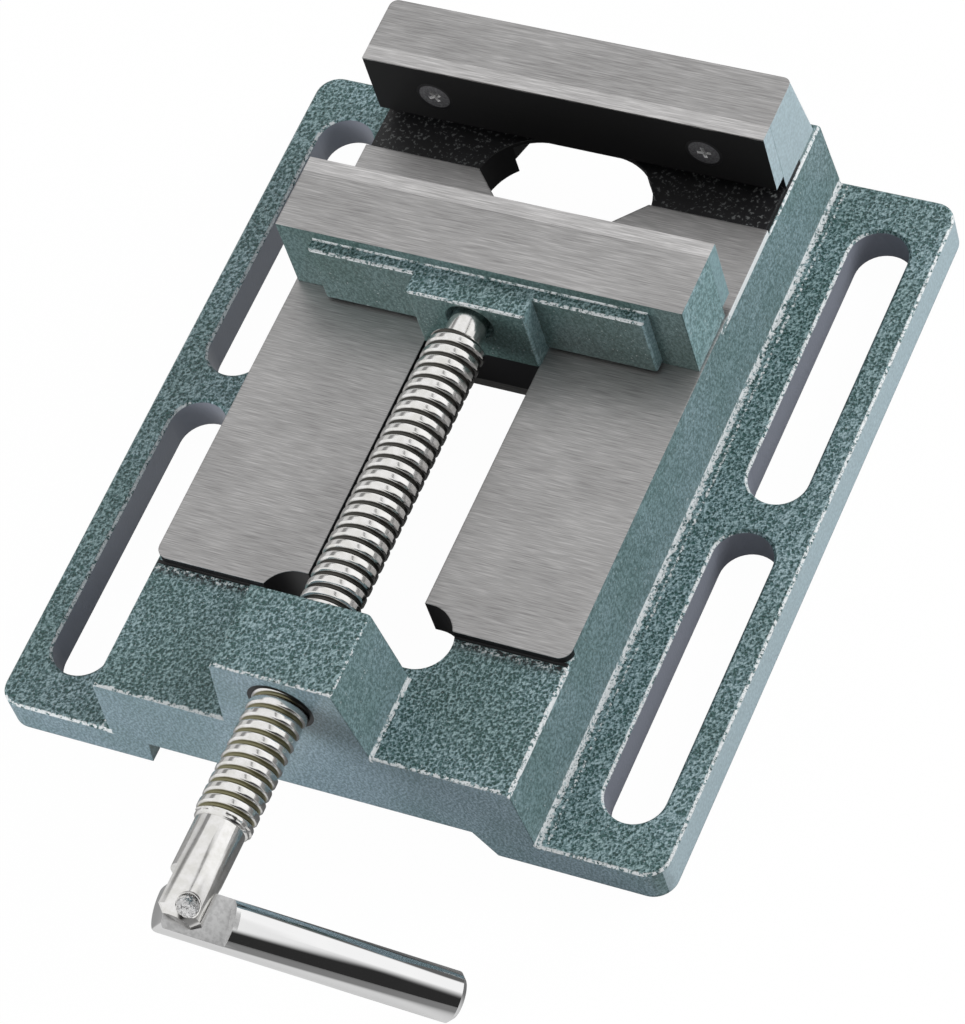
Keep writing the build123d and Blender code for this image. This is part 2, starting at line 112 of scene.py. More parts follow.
# The moving jaw's ledge, its places counted from the front of the boss, and its painted highlight lines
jawLedge = {
    "top": 51.0 * mm,
    "bossX": 14.8 * mm,
    "padX": 42.0 * mm,
    "bossY": 0.3 * mm,
    "padY": 5.4 * mm,
    "backY": 8.2 * mm,
    "lineHalf": 0.32 * mm,
    "backHalf": 0.3 * mm,
    "strength": 0.85,
}


# Shader wiring

class Wire:
    def __init__(self, finish, socket):
        self.finish = finish
        self.socket = socket

    def __add__(self, other):
        return self.finish.maths("ADD", self, other)

    def __sub__(self, other):
        return self.finish.maths("SUBTRACT", self, other)

    def __rsub__(self, other):
        return self.finish.maths("SUBTRACT", other, self)

    def __mul__(self, other):
        return self.finish.maths("MULTIPLY", self, other)

    def __gt__(self, other):
        return self.finish.maths("GREATER_THAN", self, other)

    def __lt__(self, other):
        return self.finish.maths("LESS_THAN", self, other)

    def __abs__(self):
        return self.finish.maths("ABSOLUTE", self)

    __radd__ = __add__
    __rmul__ = __mul__

    def atLeast(self, *others):
        wire = self
        for other in others:
            wire = self.finish.maths("MAXIMUM", wire, other)
        return wire

    def rise(self, low, high):  # 0 below low, 1 above high, soft between
        return self.finish.node(
            "ShaderNodeMapRange",
            {"interpolation_type": "SMOOTHSTEP"},
            {"Value": self, "From Min": low, "From Max": high, "To Min": 0.0, "To Max": 1.0},
        )

    def fall(self, low, high):
        return 1 - self.rise(low, high)

    def within(self, rising, falling):  # 1 between two soft edges
        return self.rise(*rising) * self.fall(*falling)

    def near(self, place, half):  # 1 within half of place
        return abs(self - place) < half


class Finish:
    def __init__(self, name, tree=None):
        if tree is None:
            self.material = bpy.data.materials.new(name)
            self.material.use_nodes = True
            tree = self.material.node_tree
            self.surface = tree.nodes["Principled BSDF"]
        self.tree = tree

    def feed(self, socket, value):
        if isinstance(value, Wire):
            self.tree.links.new(value.socket, socket)
        elif value is not None:
            socket.default_value = value

    def node(self, kind, settings=None, values=None, output=0):
        made = self.tree.nodes.new(kind)
        for name, value in (settings or {}).items():
            setattr(made, name, value)
        for name, value in (values or {}).items():
            self.feed(made.inputs[name], value)
        return Wire(self, made.outputs[output])

    def maths(self, operation, first, second=None):
        return self.node("ShaderNodeMath", {"operation": operation}, {0: first, 1: second})

    def vectorMaths(self, operation, first, second, output=0):
        return self.node("ShaderNodeVectorMath", {"operation": operation}, {0: first, 1: second}, output)

    def parts(self, vector):  # its x, y and z
        return [self.node("ShaderNodeSeparateXYZ", None, {0: vector}, axis) for axis in range(3)]

    def place(self):  # x, y and z on the piece in metres, and the three as one
        spot = self.node("ShaderNodeTexCoord", output="Object")
        return self.parts(spot), spot

    def normal(self):  # the surface's own direction
        return self.node("ShaderNodeNewGeometry", output="Normal")

    def radius(self, across, up):
        return self.maths("SQRT", across * across + up * up)

    def scaled(self, spot, size, stretch=(1, 1, 1), shift=(0, 0, 0)):
        scale = [axis / size for axis in stretch]
        return self.node("ShaderNodeMapping", None, {"Vector": spot, "Scale": scale, "Location": shift})

    def noise(self, spot, size, detail=2.0, rough=0.5, stretch=(1, 1, 1), shift=(0, 0, 0), output=0):
        place = self.scaled(spot, size, stretch, shift)
        values = {"Vector": place, "Scale": 1.0, "Detail": detail, "Roughness": rough}
        return self.node("ShaderNodeTexNoise", None, values, output)

    def strayed(self, spot, size, reach):  # the place pushed about, so that a pattern loses its order
        push = self.vectorMaths("SUBTRACT", self.noise(spot, size, 1.0, output=1), (0.5, 0.5, 0.5))
        push = self.node("ShaderNodeVectorMath", {"operation": "SCALE"}, {0: push, "Scale": reach})
        return self.vectorMaths("ADD", spot, push)

    def cells(self, spot, size, smoothness):  # distance from the nearest of many scattered points
        return self.node(
            "ShaderNodeTexVoronoi",
            {"feature": "SMOOTH_F1"},
            {"Vector": self.scaled(spot, size), "Scale": 1.0, "Smoothness": smoothness, "Randomness": 0.9},
        )

    def opaque(self, colour):  # a plain colour gets its alpha
        return colour if isinstance(colour, Wire) else (*colour, 1.0)

    def blend(self, factor, first, second):
        values = {"Factor": factor, 6: self.opaque(first), 7: self.opaque(second)}
        return self.node("ShaderNodeMix", {"data_type": "RGBA"}, values, output=2)

    def tinted(self, colour, factor, low, high):  # colour times a shade between low and high
        values = {"Factor": 1.0, 6: self.opaque(colour), 7: self.blend(factor, low, high)}
        return self.node("ShaderNodeMix", {"data_type": "RGBA", "blend_type": "MULTIPLY"}, values, output=2)

    def rounded(self, radius):  # the direction that a worn, rounded edge would have
        return self.node("ShaderNodeBevel", {"samples": 4}, {"Radius": radius})

    def bump(self, height, distance, normal=None):
        values = {"Height": height, "Distance": distance, "Strength": 1.0, "Normal": normal}
        return self.node("ShaderNodeBump", None, values)

    def finish(self, **values):
        names = {"colour": "Base Color", "rough": "Roughness", "metal": "Metallic", "normal": "Normal"}
        for name, value in values.items():
            self.feed(self.surface.inputs[names[name]], self.opaque(value) if name == "colour" else value)
        return self.material


# Finishes

hammertone = {
    "vein": (0.099, 0.166, 0.180),
    "crest": (0.213, 0.305, 0.322),
    "pit": (0.021, 0.067, 0.061),
    # painted light: the upright faces take lighter or darker copies of the paint by the way they face
    "front": (0.146, 0.206, 0.236),
    "side": (0.134, 0.203, 0.215),
    "jawFrontShaded": (0.070, 0.113, 0.111),
    "jawSideLit": (0.180, 0.275, 0.295),
    # bright: painted light on the plate's outer faces, the jaw ends and the fixed plate's ends
    "bright": (0.325, 0.412, 0.450),
    "litFaceShare": 0.94,
    "slotWall": (0.185, 0.200, 0.240),
    # glint: the colour of painted highlights and painted sparkle, and of light specks on rough ground
    "glint": (0.62, 0.65, 0.66),
    # black: as-cast black and dark specks, and painted shade in hollows, gaps, the bore and the screw
    # recesses
    "black": (0.006, 0.006, 0.007),
    "speck": (0.20, 0.21, 0.21),
    "rough": 0.34,
    "pitSpacing": 0.80 * mm,
    "pitDepth": 0.11 * mm,
    "straySize": 0.8 * mm,
    "strayReach": 1.1 * mm,
    "grainSize": 0.75 * mm,
    # lit: the shift towards the light for the painted emboss shade
    "lit": (0.305, -0.172, 0.0),
    "cloudSize": 24 * mm,
    # sparkle: painted highlight specks on the paint
    "sparkleSize": 0.5 * mm,
    "sparkle": 0.6,
    "rubbleSize": 0.9 * mm,
    "edgeRadius": 0.45 * mm,
}

# Where each mask of the paint starts and where it is full
paintSpans = {
    "pit": (0.22, 0.56),
    "crest": (0.46, 0.74),
    "level": (0.06, 0.62),
    "embossShade": (-0.11, 0.11),
    # across: where the painted light on the upright faces fades from left to right
    "across": (-30 * mm, 40 * mm),
    "toSide": (0.3, 0.7),
    "grain": (0.34, 0.66),
    "cloud": (0.35, 0.65),
    "sparkle": (0.70, 0.78),
    "mottle": (0.10, 0.26),
    # worn: the edge band that places painted highlights and painted shade on edges
    "worn": (0.04, 0.15),
    "darkRubble": (0.44, 0.52),
    "lightRubble": (0.60, 0.68),
}

# Shades that the paint is multiplied by, at the start of its mask and where that is full
# across, the two emboss shades and the edge shade are painted light and shade; the rest is the paint's own
# mottling
paintShades = {
    "across": ((1.24, 1.24, 1.25), (1.0, 1.0, 1.0)),
    "calmGrain": ((0.72, 0.76, 0.74), (1.16, 1.13, 1.14)),
    "calmEmbossShade": ((0.74, 0.78, 0.77), (1.22, 1.19, 1.19)),
    "pittedEmbossShade": ((0.52, 0.60, 0.58), (1.46, 1.38, 1.38)),
    "cloud": ((0.84, 0.88, 0.86), (1.08, 1.06, 1.08)),
    "mottle": ((0.86, 0.86, 0.86), (1.1, 1.1, 1.1)),
    "plateEnd": ((0.84, 0.84, 0.84), (1.1, 1.1, 1.1)),
    "creaseShade": ((1, 1, 1), (0.42, 0.52, 0.50)),
}

machined = {
    "steel": (0.430, 0.423, 0.421),
    "streakDark": (0.300, 0.294, 0.292),
    "streakLight": (0.565, 0.556, 0.553),
    "streakLength": 7.0 * mm,
    "streakWidth": 0.26 * mm,
    "streakDepth": 0.010 * mm,
    "broadSize": 14 * mm,
    "metal": 0.9,
    "litTopShare": 1.36,
    "blackFace": (0.036, 0.036, 0.037),
    "wornSize": 1.6 * mm,
    "wornDepth": 0.9 * mm,
}


def machinedSteel(finish, spot):  # colour and height of a ground surface, its streaks along X
    width, length = machined["streakWidth"], machined["streakLength"]
    fine = finish.noise(spot, width, 2.0, 0.6, (width / length, 1, 1))
    broad = finish.noise(spot, machined["broadSize"], 2.0, 0.5, (0.5, 1, 1))
    tone = fine * 0.75 + broad * 0.25
    dark = finish.blend(tone.rise(0.30, 0.52), machined["streakDark"], machined["steel"])
    return finish.blend(tone.rise(0.50, 0.66), dark, machined["streakLight"]), fine


def hammertonePaint(finish, spot, x, facing, front, side):  # colour and height of the paint, with painted light: lit and shaded copies by facing, an emboss shade, highlight specks
    stray = finish.strayed(spot, hammertone["straySize"], hammertone["strayReach"])
    distance = finish.cells(stray, hammertone["pitSpacing"], 0.20)
    pit = distance.fall(*paintSpans["pit"])
    level = facing[2].rise(*paintSpans["level"])
    pitted = finish.blend(distance.rise(*paintSpans["crest"]), hammertone["vein"], hammertone["crest"])
    pitted = finish.blend(pit, pitted, hammertone["pit"])
    grain = finish.noise(spot, hammertone["grainSize"], 2.0, 0.55)
    # painted light and shade: the grain against itself shifted towards the light, as if lit from one side
    beside = finish.noise(spot, hammertone["grainSize"], 2.0, 0.55, shift=hammertone["lit"])
    embossShade = (grain - beside).rise(*paintSpans["embossShade"])
    # painted light: the upright faces lighter towards the left, as if lit from the front left
    leftLitFront = finish.tinted(front, x.rise(*paintSpans["across"]), *paintShades["across"])
    # painted light: faces turned to the right take the side colour
    calm = finish.blend(facing[0].rise(*paintSpans["toSide"]), leftLitFront, side)
    calm = finish.tinted(calm, grain.rise(*paintSpans["grain"]), *paintShades["calmGrain"])
    calm = finish.tinted(calm, embossShade, *paintShades["calmEmbossShade"])
    pitted = finish.tinted(pitted, embossShade, *paintShades["pittedEmbossShade"])
    colour = finish.blend(level, calm, pitted)
    cloud = finish.noise(spot, hammertone["cloudSize"], 2.0, 0.5)
    colour = finish.tinted(colour, cloud.rise(*paintSpans["cloud"]), *paintShades["cloud"])
    # painted highlight specks
    sparkle = finish.noise(spot, hammertone["sparkleSize"], 1.0, shift=(2, 6, 9)).rise(*paintSpans["sparkle"])
    colour = finish.blend(sparkle * hammertone["sparkle"], colour, hammertone["glint"])
    return colour, (1 - pit) * level + grain * 0.35


# Painted highlights along the base's edges: distance from the edge, bright and faded half width, strength
litEdges = {
    "foot": (0.2 * mm, 0.2 * mm, 1.3 * mm, 0.92),
    "besideFoot": (2.2 * mm, 0.1 * mm, 0.6 * mm, 0.55),
    "frontTop": (0, 0.5 * mm, 1.3 * mm, 0.85),
    "shoulder": (-0.2 * mm, 0.2 * mm, 0.8 * mm, 1.0),
    "bossFoot": (0, 0.2 * mm, 0.6 * mm, 0.85),
}
rightStrip = {"start": 28 * mm, "full": 48 * mm, "strength": 2.4}  # painted highlight on the rear edge of the right way
ragged = {"crumbSize": 0.85 * mm, "crumbs": 4.2, "patchSize": 4.5 * mm, "patches": 1.4}


def litLine(value, edge, name):
    away, bright, faded, strength = litEdges[name]
    return abs(value - (edge + away)).fall(bright, faded) * strength


def brokenLines(finish, spot, edge):  # an edge's painted highlight, broken into ragged pieces
    crumbs = finish.noise(spot, ragged["crumbSize"], 2.5, 0.7, shift=(7, 2, 5))
    patches = finish.noise(spot, ragged["patchSize"], 2.0, 0.5, shift=(1, 8, 3))
    broken = edge + (crumbs - 0.5) * ragged["crumbs"] + (patches - 0.5) * ragged["patches"]
    return broken.rise(0.52, 0.95) * edge.rise(0.05, 0.30)


def castingLines(x, y, z, facing, soft, edgeBand):  # how strongly each edge of the base gets a painted highlight
    onPlate = z.near(casting["plateTop"], mm)
    onBridge = z.near(casting["bridgeTop"], mm)
    slanted = facing[2].within((0.30, 0.45), (0.85, 0.95)) * (1 - (z > casting["landTop"] + mm) * 0.5)
    upward = soft[2].rise(0.15, 0.40)
    toRight = soft[0].rise(0.32, 0.62) * upward
    toFront = (0 - soft[1]).rise(0.20, 0.5) * (y < baseLow.y + 2 * mm) * upward
    wayStep = (y > casting["wayFrontY"] - mm) * (y < rightStrip["start"])
    wayStep = wayStep * (z > casting["bridgeTop"] + 2 * hair) * (z < casting["wayTop"] + mm)
    # worn: painted highlight on chamfers and rounded edges that face the side lamp or the front
    worn = slanted.atLeast(edgeBand) * (toRight * 0.95).atLeast(toFront) * (1 - wayStep)
    foot = litLine(abs(x), casting["footX"], "foot") * onPlate
    beside = litLine(abs(x), casting["footX"], "besideFoot") * onPlate
    frontTop = litLine(y, baseLow.y, "frontTop") * (facing[2] > 0.5) * (z > casting["bridgeTop"] - mm)
    shoulder = litLine(x, casting["blockTopX"], "shoulder") * onBridge * (y < casting["wayFrontY"] - mm)
    bossFoot = litLine(x, casting["bossFootX"], "bossFoot") * onBridge * (y < casting["bossRearY"])
    ledge = (abs(x) > casting["jawEndX"] + 0.5 * hair) * (y > casting["ledgeFrontY"])
    ledge = ledge * z.near(casting["bridgeTop"] + 5 * hair, mm) * (facing[2] > 0.25)
    strip = (facing[0] > 0.3) * (z > casting["bridgeTop"]) * (z < casting["wayTop"])
    strip = strip * y.rise(rightStrip["start"], rightStrip["full"]) * (y < casting["wayRearY"] + hair)
    return worn.atLeast(foot, beside, frontTop, shoulder, bossFoot, ledge, strip * rightStrip["strength"])


def castingLitFacesAndWalls(x, y, z, facing):  # painted light: where the paint is lighter as if lit from the side; and where it is the grey of a slot's wall
    upright = abs(facing[2]) < 0.5
    outer = (abs(x) > baseHigh.x - mm) * upright
    jawEnd = (abs(facing[0]) > 0.7) * (z > casting["landTop"]) * (y > casting["seamY"] - mm)
    wall = abs(x).near(slotX, casting["slotHalfWidth"]) * upright
    return outer.atLeast(jawEnd), wall * (z < casting["plateTop"]) * (abs(y) < casting["slotEndY"])


def castingBare(x, y, z, facing):
    way = z.near(casting["wayTop"], 3 * hair)
    jaw = z.near(casting["jawTop"], 3 * hair) * (y > casting["wayRearY"])
    return (facing[2] > 0.9) * way.atLeast(jaw)


# black on the as-cast land and the jaw's seat, and painted shade in the bore, the gap between the ways, the
# cavity and the step at the ways' front
def castingBlackAndShade(x, y, z, facing):
    beforeRear = y < casting["passageRearY"]
    steep = facing[2] < 0.5
    land = (abs(x) < casting["blockTopX"] - 5 * hair) * (y > casting["wayRearY"]) * beforeRear
    land = land * (z > casting["plateTop"] + 5 * hair) * (z < casting["landTop"] + 2 * hair)
    seat = (facing[1] < -0.9) * (y > casting["seamY"] - mm) * (z > casting["landTop"] - 2 * hair)
    up = z - screwHeight
    bore = (x * x + up * up < casting["boreRadius"] ** 2) * (y < casting["bossRearY"] + mm)
    gap = (abs(x) < casting["gapX"]) * (y > casting["gapFrontY"]) * beforeRear
    gap = gap * (z < casting["wayTop"] - hair) * steep
    cavity = (z < casting["cavityTop"]) * (abs(x) < casting["cavityX"]) * (abs(y) < casting["cavityY"])
    corner = steep * (z > casting["bridgeTop"]) * (y < casting["wayFrontY"] + casting["wayCorner"])
    step = y.near(casting["wayFrontY"] - hair, 5 * hair) * (z > casting["bridgeTop"] - hair)
    step = step.atLeast(corner) * (z < casting["wayTop"] - hair) * (y > casting["wayFrontY"] - mm)
    return land.atLeast(seat, bore, gap, cavity, step)


def castingSpecks(x, y, z, facing):  # rough ground beside a machined face
    bridge = (y - casting["wayFrontY"] + 4.2 * mm).rise(0, 3.0 * mm) * (y < casting["wayFrontY"] - 7 * hair)
    bridge = bridge * z.near(casting["bridgeTop"], 3 * hair) * (abs(x) < casting["blockTopX"])
    land = (y > casting["wayRearY"]) * (z < casting["landTop"] + 2 * hair) * (facing[2] > 0.5)
    return bridge.atLeast(land * (z > casting["bridgeTop"]) * 0.55)


# painted highlight lines along the edges of the jaw's ledge
def jawLines(x, y, z, facing, soft, edgeBand):
    ahead = y - jawFrontY
    onBoss = abs(x) < jawLedge["bossX"]
    onPads = abs(x) < jawLedge["padX"]
    pads = ahead.near(jawLedge["padY"], jawLedge["lineHalf"]) * (1 - onBoss) * onPads
    boss = ahead.near(jawLedge["bossY"], jawLedge["lineHalf"]) * onBoss
    back = ahead.near(jawLedge["backY"], jawLedge["backHalf"]) * onPads
    return pads.atLeast(boss, back) * z.near(jawLedge["top"], 5 * hair) * jawLedge["strength"]


def jawBare(x, y, z, facing):
    return (facing[2] > 0.9) * z.near(casting["jawTop"], 3 * hair)


# painted shade on the jaw below the ways' tops, where it reaches down between them
def jawShade(x, y, z, facing):
    return (z < casting["wayTop"] + 0.2 * hair) * 1.0


def paintedCasting(name, front, side, lines, bare, black, litFacesAndWalls=None, specks=None):
    finish = Finish(name)
    (x, y, z), spot = finish.place()
    normal = finish.normal()
    facing = finish.parts(normal)
    shown, height = hammertonePaint(finish, spot, x, facing, front, side)
    steel, streak = machinedSteel(finish, spot)
    if litFacesAndWalls is not None:
        # painted light on the outer faces and the jaw ends
        bright, wall = litFacesAndWalls(x, y, z, facing)
        lit = finish.tinted(hammertone["bright"], height.rise(*paintSpans["mottle"]), *paintShades["mottle"])
        shown = finish.blend(bright * hammertone["litFaceShare"], shown, lit)
        shown = finish.blend(wall, shown, hammertone["slotWall"])
    soft = finish.rounded(hammertone["edgeRadius"])
    # edgeBand: where the rounded normal parts from the face's own; it places painted highlights and painted
    # shade on edges
    edgeBand = (1 - finish.vectorMaths("DOT_PRODUCT", soft, normal, "Value")).rise(*paintSpans["worn"])
    softFacing = finish.parts(soft)
    glint = brokenLines(finish, spot, lines(x, y, z, facing, softFacing, edgeBand))
    bareMask = bare(x, y, z, facing)
    blackAndShadeMask = black(x, y, z, facing) * (1 - bareMask)
    # painted shade along rounded edges that face right rather than up
    creaseShade = edgeBand * softFacing[2].fall(0.05, 0.25) * softFacing[0].rise(0.15, 0.40)
    shown = finish.tinted(shown, creaseShade, *paintShades["creaseShade"])
    # painted highlights along the edges
    shown = finish.blend(glint, shown, hammertone["glint"])
    # black, and painted shade in hollows and gaps
    shown = finish.blend(blackAndShadeMask, shown, hammertone["black"])
    if specks is not None:
        amount = specks(x, y, z, facing)
        rubble = finish.noise(spot, hammertone["rubbleSize"], 2.5, 0.65, shift=(4, 4, 1))
        shown = finish.blend(amount * rubble.fall(*paintSpans["darkRubble"]), shown, hammertone["black"])
        light = finish.blend(amount.rise(0.6, 0.9), hammertone["speck"], hammertone["glint"])
        shown = finish.blend(amount * (rubble + amount * 0.06).rise(*paintSpans["lightRubble"]), shown, light)
    painted = (1 - bareMask) * (1 - blackAndShadeMask)
    return finish.finish(
        colour=finish.blend(bareMask, shown, steel),
        rough=hammertone["rough"] + bareMask * 0.08 + blackAndShadeMask * 0.1,
        metal=bareMask * machined["metal"],
        normal=finish.bump(height * painted + streak * bareMask * 0.06, hammertone["pitDepth"], soft),
    )


def steelPiece(name, brightness, roughness, blackFace=None):  # blackFace says which way along Y is black
    finish = Finish(name)
    (x, y, z), spot = finish.place()
    facing = finish.parts(finish.normal())
    colour, streak = machinedSteel(finish, spot)
    # painted light: top faces lighter, as if lit from above
    top = brightness * machined["litTopShare"]
    colour = finish.tinted(colour, facing[2].rise(0.5, 0.9), (brightness,) * 3, (top,) * 3)
    metal = machined["metal"]
    if blackFace is not None:
        worn = finish.noise(spot, machined["wornSize"], 2.5, 0.6, (0.35, 1, 1))
        face = (facing[1] * blackFace > 0.9) * 1.0
        face = face * (z - casting["jawTop"] + worn * machined["wornDepth"]).fall(0, hair)
        colour = finish.blend(face, colour, machined["blackFace"])
        # the plates' painted ends, in the casting's lighter painted-light end colours
        end = (abs(facing[0]) > 0.9) * 1.0
        paint = hammertone["bright" if blackFace < 0 else "jawSideLit"]
        mottle = finish.noise(spot, hammertone["grainSize"], 2.0, 0.55).rise(0.36, 0.66)
        colour = finish.blend(end, colour, finish.tinted(paint, mottle, *paintShades["plateEnd"]))
        metal = (1 - end) * metal
        roughness = roughness + face * 0.25
    return finish.finish(
        colour=colour, rough=roughness, metal=metal, normal=finish.bump(streak, machined["streakDepth"])
    )


chrome = {
    "dim": (0.86, 0.86, 0.865),
    "clear": (0.93, 0.93, 0.925),
    "hazeSize": 9 * mm,
    "haze": 0.03,
    "milledReach": 13 * mm,
    "milledShade": (0.52, 0.52, 0.52),
    "milledRough": 0.30,
    "beatenSize": 1.3 * mm,
    "beatenDepth": 0.03 * mm,
}


def chromePlate(name, lapped, dull):  # bright all over, and milled dull on the handle's lap
    finish = Finish(name)
    (x, y, z), spot = finish.place()
    haze = finish.noise(spot, chrome["hazeSize"], 2.0, 0.5)
    bright = finish.blend(haze, chrome["dim"], chrome["clear"])
    along = finish.vectorMaths("DOT_PRODUCT", finish.normal(), hinge["axis"], "Value")
    fromHinge = finish.vectorMaths("DISTANCE", spot, hinge["place"], "Value")
    milled = along.rise(0.9, 0.99) * (fromHinge < chrome["milledReach"]) * lapped
    beaten = finish.noise(spot, chrome["beatenSize"], 2.5, 0.6)
    shade = milled * (0.75 + beaten.fall(0.36, 0.60) * 0.25)
    return finish.finish(
        colour=finish.tinted(bright, shade, (1, 1, 1), chrome["milledShade"]),
        rough=dull + haze * chrome["haze"] + milled * chrome["milledRough"],
        metal=1.0,
        normal=finish.bump(beaten * milled, chrome["beatenDepth"]),
    )


thread = {
    "outer": 6.8 * mm,
    "depth": 0.95 * mm,
    "frontFromHinge": 20.9 * mm,
    "rearFromJaw": 6.2 * mm,
    "pitch": frame["record"]["behaviour"]["couplings"][0]["ratio"] * math.tau,
    "pointsPerTurn": 14,
    "steps": 72,
    "rootShare": 0.14,
    "crestShare": 0.52,
    "barrel": 0.07 * mm,
    "chamfer": 0.9 * mm,
    "phase": 4.38,
    "collar": {"radius": 6.35 * mm, "length": 1.0 * mm},
    "edge": 0.25 * mm,
    "dim": (0.83, 0.82, 0.79),
    "clear": (0.94, 0.93, 0.92),
    "frontRoot": (0.26, 0.245, 0.15),
    "innerRoot": (0.085, 0.082, 0.074),
    "rootRadius": (6.15 * mm, 6.5 * mm),
    "darkRootFromHinge": 22 * mm,
    "darkRootFromJaw": 6.4 * mm,
    "patchSize": 2.2 * mm,
    "patchDepth": 0.006 * mm,
}


def threadPlate():  # bright crests and darker roots, darker still behind the base's front
    finish = Finish("threadChrome")
    (x, y, z), spot = finish.place()
    patches = finish.noise(spot, thread["patchSize"], 2.0, 0.6)
    root = (finish.radius(x, z - screwHeight) + (patches - 0.5) * 2 * hair).fall(*thread["rootRadius"])
    root = root * (y > hinge["place"].y + thread["darkRootFromHinge"]) * (y < jawFrontY - thread["darkRootFromJaw"])
    bright = finish.blend(patches.rise(0.3, 0.7), thread["dim"], thread["clear"])
    rootColour = finish.blend(y > baseLow.y, thread["frontRoot"], thread["innerRoot"])
    return finish.finish(
        colour=finish.blend(root, bright, rootColour),
        rough=0.10 + patches * 0.10 + root * 0.25,
        metal=1.0,
        normal=finish.bump(patches, thread["patchDepth"]),
    )


keeperFastener = {
    "dark": (0.03, 0.03, 0.032),
    "light": (0.09, 0.09, 0.092),
    "grainSize": 0.5 * mm,
    "grainDepth": 0.01 * mm,
    "edge": 0.2 * mm,
}


def blackSteel():
    finish = Finish("blackSteel")
    (x, y, z), spot = finish.place()
    grain = finish.noise(spot, keeperFastener["grainSize"], 2.0, 0.6)
    return finish.finish(
        colour=finish.blend(grain, keeperFastener["dark"], keeperFastener["light"]),
        rough=0.28,
        metal=0.85,
        normal=finish.bump(grain, keeperFastener["grainDepth"], finish.rounded(keeperFastener["edge"])),
    )


jawScrew = {
    "halfSpacing": (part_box("fixed_jaw_screw_right")[0].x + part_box("fixed_jaw_screw_right")[1].x) / 2,
    "dark": (0.060, 0.060, 0.064),
    "light": (0.135, 0.135, 0.142),
    "recessGlint": (0.85, 0.85, 0.85),
    "recessRadius": 3.2 * mm,
    "rim": (3.75 * mm, 3.95 * mm),
    "grainSize": 0.6 * mm,
    "grainDepth": 0.02 * mm,
}


def jawScrewSteel():  # dark head, with painted shade in its recess and round its edge, and painted highlights on recess walls that face up
    finish = Finish("jawScrewSteel")
    (x, y, z), spot = finish.place()
    facing = finish.parts(finish.normal())
    radius = finish.radius(abs(x) - jawScrew["halfSpacing"], z - screwHeight)
    grain = finish.noise(spot, jawScrew["grainSize"], 2.0, 0.6)
    colour = finish.blend(grain.rise(0.3, 0.7), jawScrew["dark"], jawScrew["light"])
    recessed = (abs(facing[1]) < 0.95) * (radius < jawScrew["recessRadius"])
    # painted shade in the recess
    colour = finish.blend(recessed, colour, hammertone["black"])
    # painted highlights on the recess walls that face up
    colour = finish.blend(recessed * (facing[2] > 0) * grain.rise(0.22, 0.38), colour, jawScrew["recessGlint"])
    # painted shadow in the gap round the head
    colour = finish.blend(radius.rise(*jawScrew["rim"]), colour, hammertone["black"])
    normal = finish.bump(grain, jawScrew["grainDepth"])
    return finish.finish(colour=colour, rough=0.34, metal=0.3, normal=normal)


finishes = {
    "casting": paintedCasting(
        "castingPaint", hammertone["front"], hammertone["side"],
        castingLines, castingBare, castingBlackAndShade, castingLitFacesAndWalls, castingSpecks,
    ),
    "movingJaw": paintedCasting(
        "jawPaint", hammertone["jawFrontShaded"], hammertone["jawSideLit"], jawLines, jawBare, jawShade,
    ),
    "fixedPlate": steelPiece("fixedPlateSteel", 1.0, 0.40, -1),
    "movingPlate": steelPiece("movingPlateSteel", 1.0, 0.40, 1),
    "keeper": steelPiece("keeperSteel", 0.8, 0.45),
    "chrome": chromePlate("chrome", 1, 0.03),
    "rivetChrome": chromePlate("rivetChrome", 0, 0.06),
    "threadChrome": threadPlate(),
    "blackSteel": blackSteel(),
    "jawScrewSteel": jawScrewSteel(),
}
print("finishes made")


def coat(name, finish):
    data = nodes[name].data
    data.materials.clear()
    data.materials.append(finishes[finish])


for name in nodes:
    if "bolt" in name or "washer" in name:
        coat(name, "blackSteel")
    elif "keeper" in name or "pin" in name:
        coat(name, "keeper")
coat("base_casting", "casting")
coat("moving_jaw", "movingJaw")
print("nodes coated")


# Modelling helpers

def deselectAll():
    if bpy.context.object and bpy.context.object.mode != "OBJECT":
        bpy.ops.object.mode_set(mode="OBJECT")
    bpy.ops.object.select_all(action="DESELECT")


def pick(piece, *others):
    deselectAll()
    for each in (piece, *others):
        each.select_set(True)
    bpy.context.view_layer.objects.active = piece


def edit(piece, kind="FACE"):
    pick(piece)
    bpy.ops.object.mode_set(mode="EDIT")
    bpy.ops.mesh.select_mode(type=kind)
    bpy.ops.mesh.select_all(action="SELECT")


def done():
    bpy.ops.object.mode_set(mode="OBJECT")
    return bpy.context.object


def copyOf(node, name):  # a clean, merged copy of a node's mesh, for the finer piece that stands for it
    piece = nodes[node].copy()
    piece.data = nodes[node].data.copy()
    piece.name = piece.data.name = name
    piece.parent = None
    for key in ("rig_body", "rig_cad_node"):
        if key in piece:
            del piece[key]
    bpy.context.scene.collection.objects.link(piece)
    edit(piece, "VERT")
    bpy.ops.mesh.customdata_custom_splitnormals_clear()
    bpy.ops.mesh.remove_doubles(threshold=0.002 * mm)
    bpy.ops.mesh.dissolve_limited(angle_limit=math.radians(0.4))
    return done()


def cut(piece, place, direction):  # keeps what lies on the side that direction points to
    edit(piece)
    bpy.ops.mesh.bisect(plane_co=place, plane_no=direction, use_fill=True, clear_inner=True)
    return done()


def applied(piece, kind, **settings):
    pick(piece)
    modifier = piece.modifiers.new(kind.lower(), kind)
    for name, value in settings.items():
        setattr(modifier, name, value)
    bpy.ops.object.modifier_apply(modifier=modifier.name)
    return piece


def softened(piece, width, segments=3, angle=28):
    applied(piece, "BEVEL", width=width, segments=segments, limit_method="ANGLE",
            angle_limit=math.radians(angle), harden_normals=False, use_clamp_overlap=True)
    return smooth(piece)


